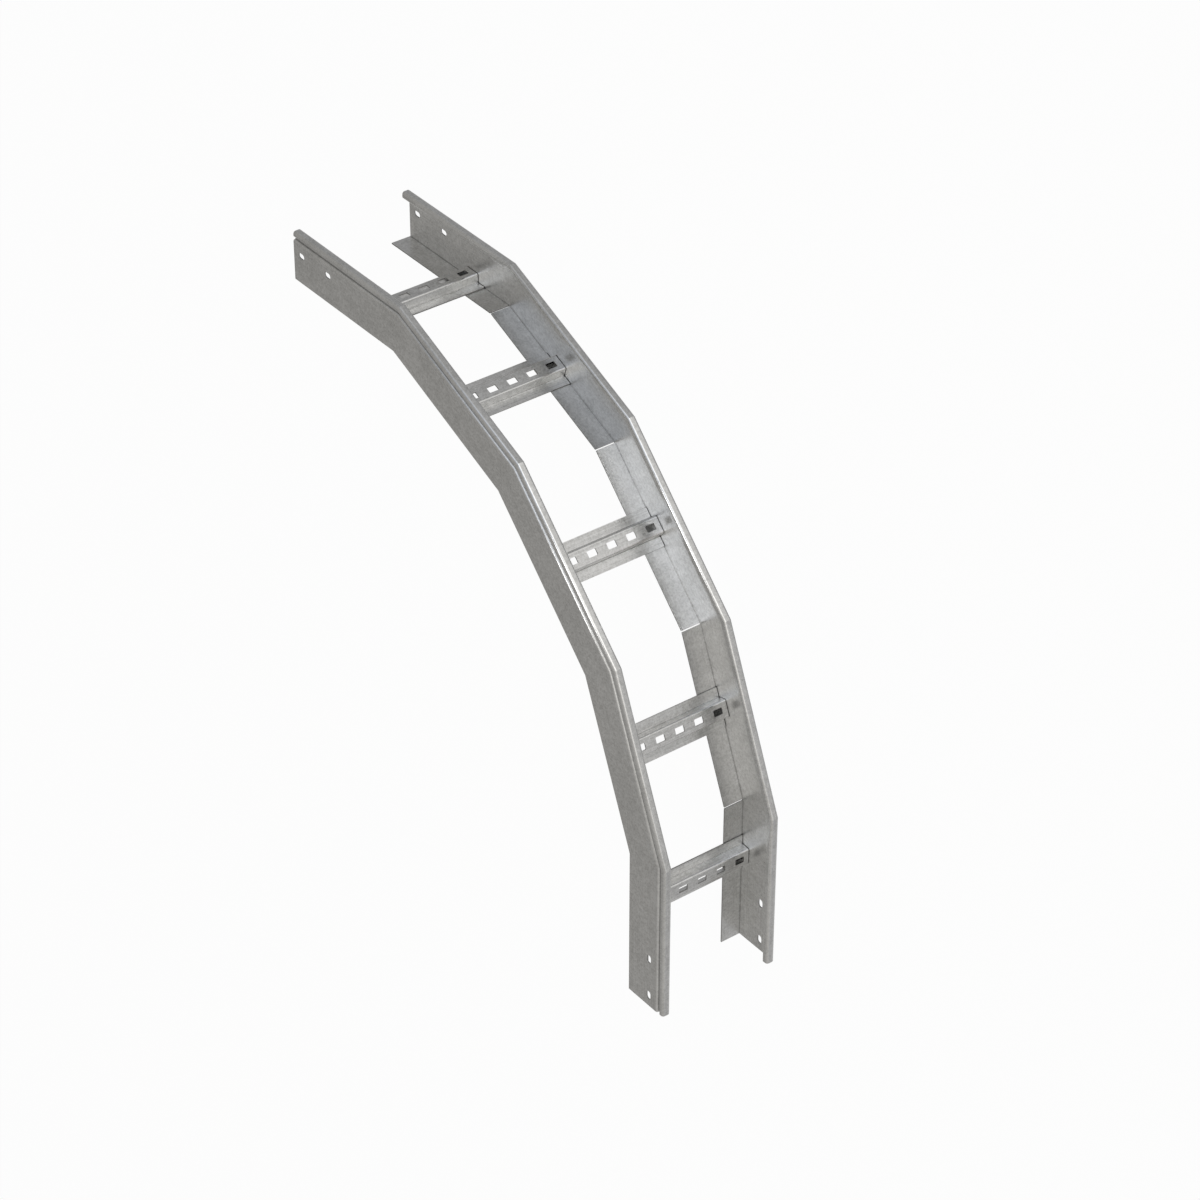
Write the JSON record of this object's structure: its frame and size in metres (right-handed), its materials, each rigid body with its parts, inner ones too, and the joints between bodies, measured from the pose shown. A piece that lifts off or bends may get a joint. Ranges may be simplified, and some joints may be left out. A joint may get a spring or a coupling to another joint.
{
  "type": "cable ladder bend",
  "caption": "Galvanised cable ladder bend turning through a right angle: two faceted side rails with rolled beads, joined by slotted hat-section rungs.",
  "frame": {"origin": "middle of the bend's square outline, on the floor under the outer face of the lower side rail", "axes": "+Z across the ladder's width, from the lower rail to the upper one; +X along the first leg towards the bend; the second leg runs along -Y"},
  "size_m": [0.6562, 0.6562, 0.153],
  "materials": {
    "rail_steel": "strip galvanised, satin, fine mottled spangle",
    "rung_steel": "strip galvanised, satin, fine mottled spangle"
  },
  "bodies": {
    "root": {"side_rail_lower": "rail_steel", "side_rail_upper": "rail_steel", "rung_1": "rung_steel", "rung_2": "rung_steel", "rung_3": "rung_steel", "rung_4": "rung_steel", "rung_5": "rung_steel"}
  },
  "joints": []
}
